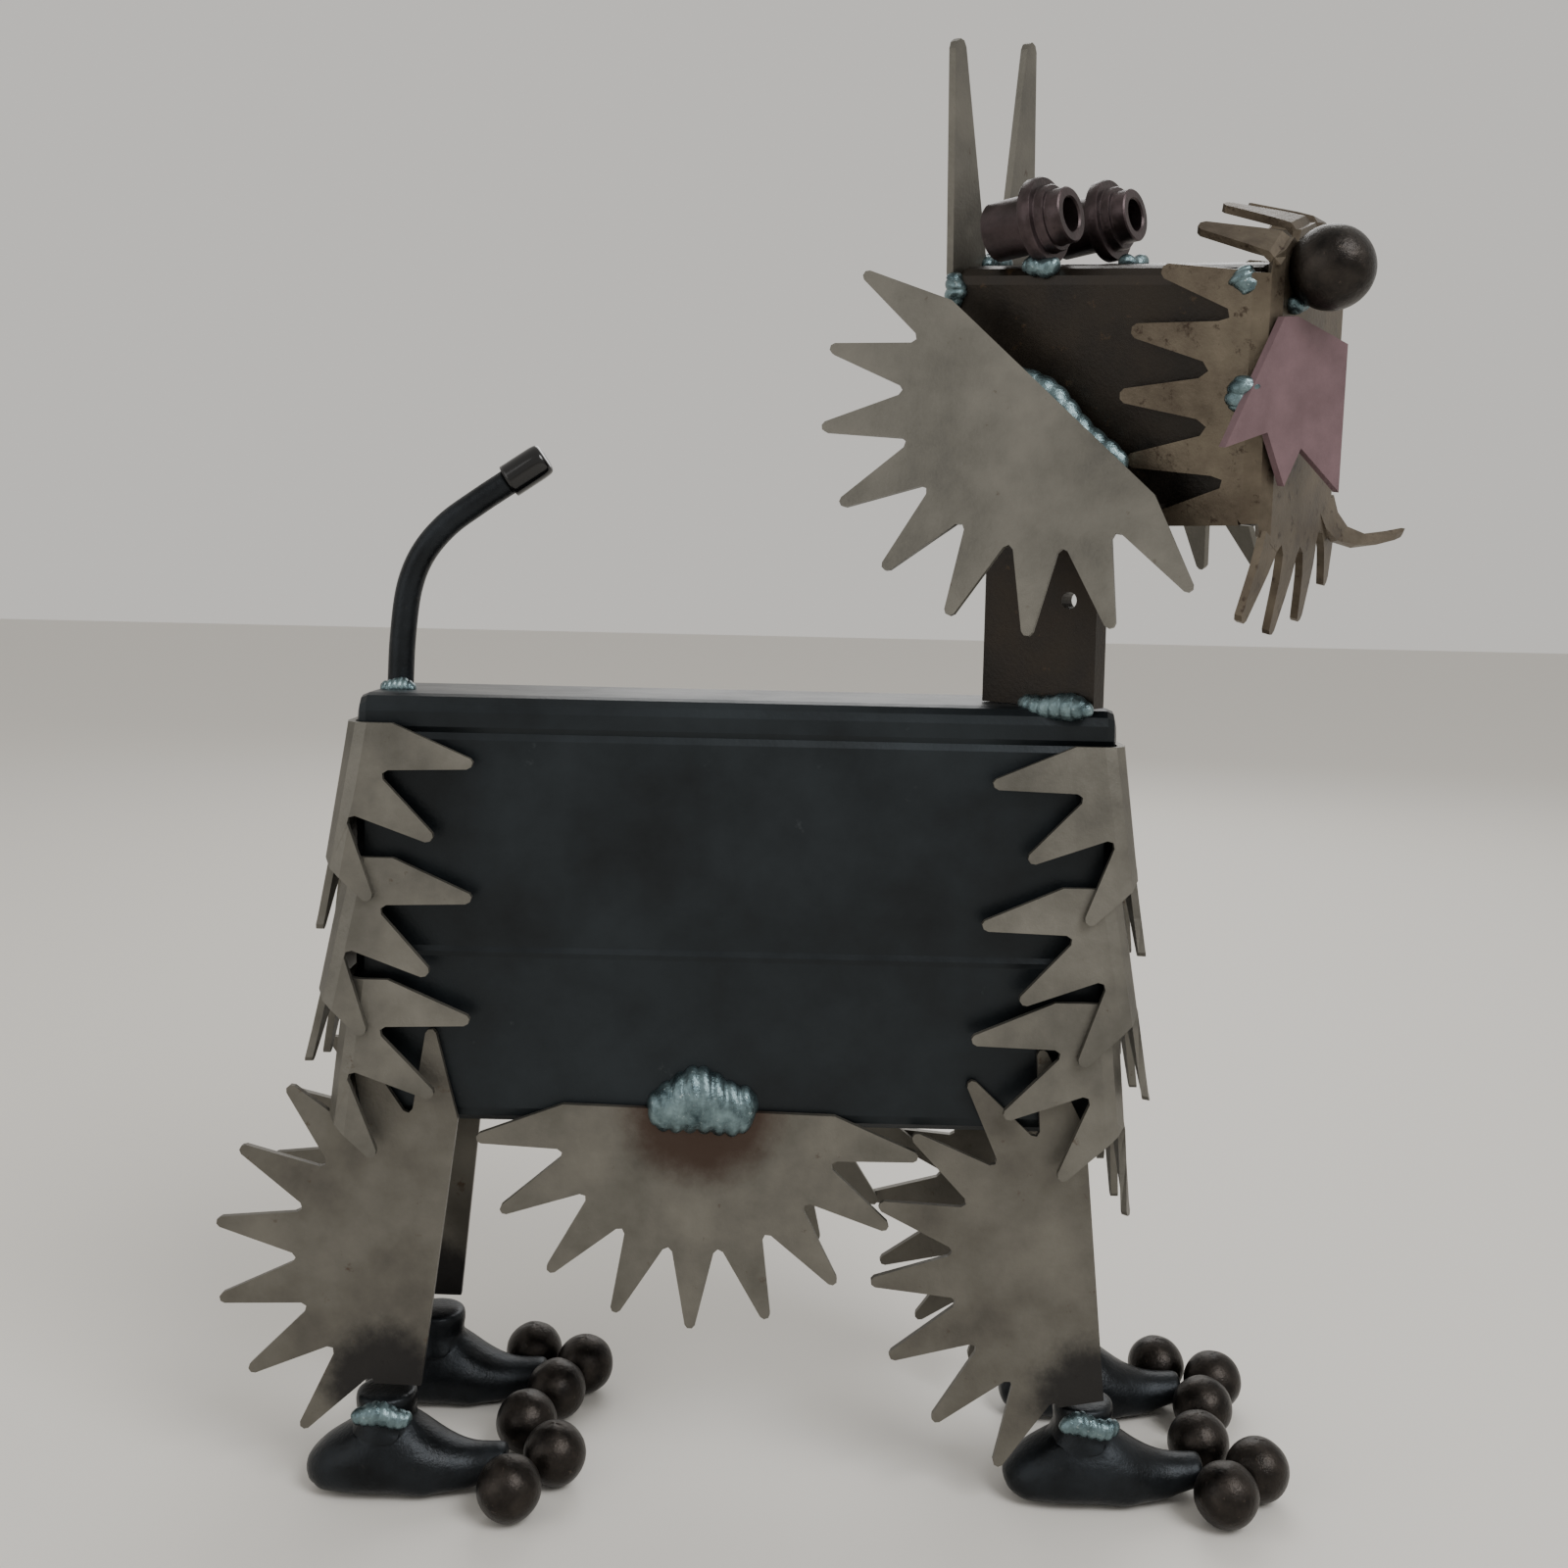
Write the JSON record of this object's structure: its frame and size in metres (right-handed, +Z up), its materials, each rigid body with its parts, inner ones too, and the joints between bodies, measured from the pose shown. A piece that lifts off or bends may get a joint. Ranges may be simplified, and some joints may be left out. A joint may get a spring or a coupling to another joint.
{
  "type": "scrap metal dog sculpture",
  "caption": "Standing dog welded from box tube, toothed half discs, forged clog feet with ball toes, a rod tail, bushing eyes and a toothed muzzle; decorative.",
  "frame": {"origin": "centre of the bounding box, on the floor the feet stand on", "axes": "+Z up, +X towards the nose, -Y towards the side the head is turned to"},
  "size_m": [0.3476, 0.1558, 0.4355],
  "materials": {
    "body_mill_scale": "blue-black mill scale, oiled",
    "head_mill_scale": "brown-black mill scale",
    "toothed_plate": "dull grey sheet, specks of rust",
    "face_plate": "brown heat tint on dull sheet",
    "tongue_plate": "faint dusty pink, matt",
    "forged_iron": "forged, near black, oiled",
    "ball_steel": "dark brown-black bearing balls",
    "bushing_steel": "purplish brown heat tint",
    "weld_bead": "weld metal with blue-green heat tint",
    "tail_rod": "dark rolled rod",
    "tail_cap": "glossy dipped end"
  },
  "bodies": {
    "root": {"body_box": "body_mill_scale", "chest_wrap_1": "toothed_plate", "chest_wrap_2": "toothed_plate", "chest_wrap_3": "toothed_plate", "rump_wrap_1": "toothed_plate", "rump_wrap_2": "toothed_plate", "rump_wrap_3": "toothed_plate", "leg_plate_rear_near": "toothed_plate", "leg_plate_rear_far": "toothed_plate", "leg_plate_front_near": "toothed_plate", "leg_plate_front_far": "toothed_plate", "belly_plate_near": "toothed_plate", "belly_plate_far": "toothed_plate", "belly_weld_near": "weld_bead", "belly_weld_far": "weld_bead", "foot_rear_near": "forged_iron", "toe_ball_rear_near_1": "ball_steel", "toe_ball_rear_near_2": "ball_steel", "toe_ball_rear_near_3": "ball_steel", "foot_rear_far": "forged_iron", "toe_ball_rear_far_1": "ball_steel", "toe_ball_rear_far_2": "ball_steel", "toe_ball_rear_far_3": "ball_steel", "foot_front_near": "forged_iron", "toe_ball_front_near_1": "ball_steel", "toe_ball_front_near_2": "ball_steel", "toe_ball_front_near_3": "ball_steel", "foot_front_far": "forged_iron", "toe_ball_front_far_1": "ball_steel", "toe_ball_front_far_2": "ball_steel", "toe_ball_front_far_3": "ball_steel", "neck_bar": "head_mill_scale", "head_box": "head_mill_scale", "ear_near": "toothed_plate", "ear_far": "toothed_plate", "eye_near": "bushing_steel", "eye_far": "bushing_steel", "face_disc": "face_plate", "nose_ball": "ball_steel", "tongue_plate": "tongue_plate", "ruff_near": "toothed_plate", "ruff_far": "toothed_plate", "tail_rod": "tail_rod", "tail_cap": "tail_cap"}
  },
  "joints": []
}
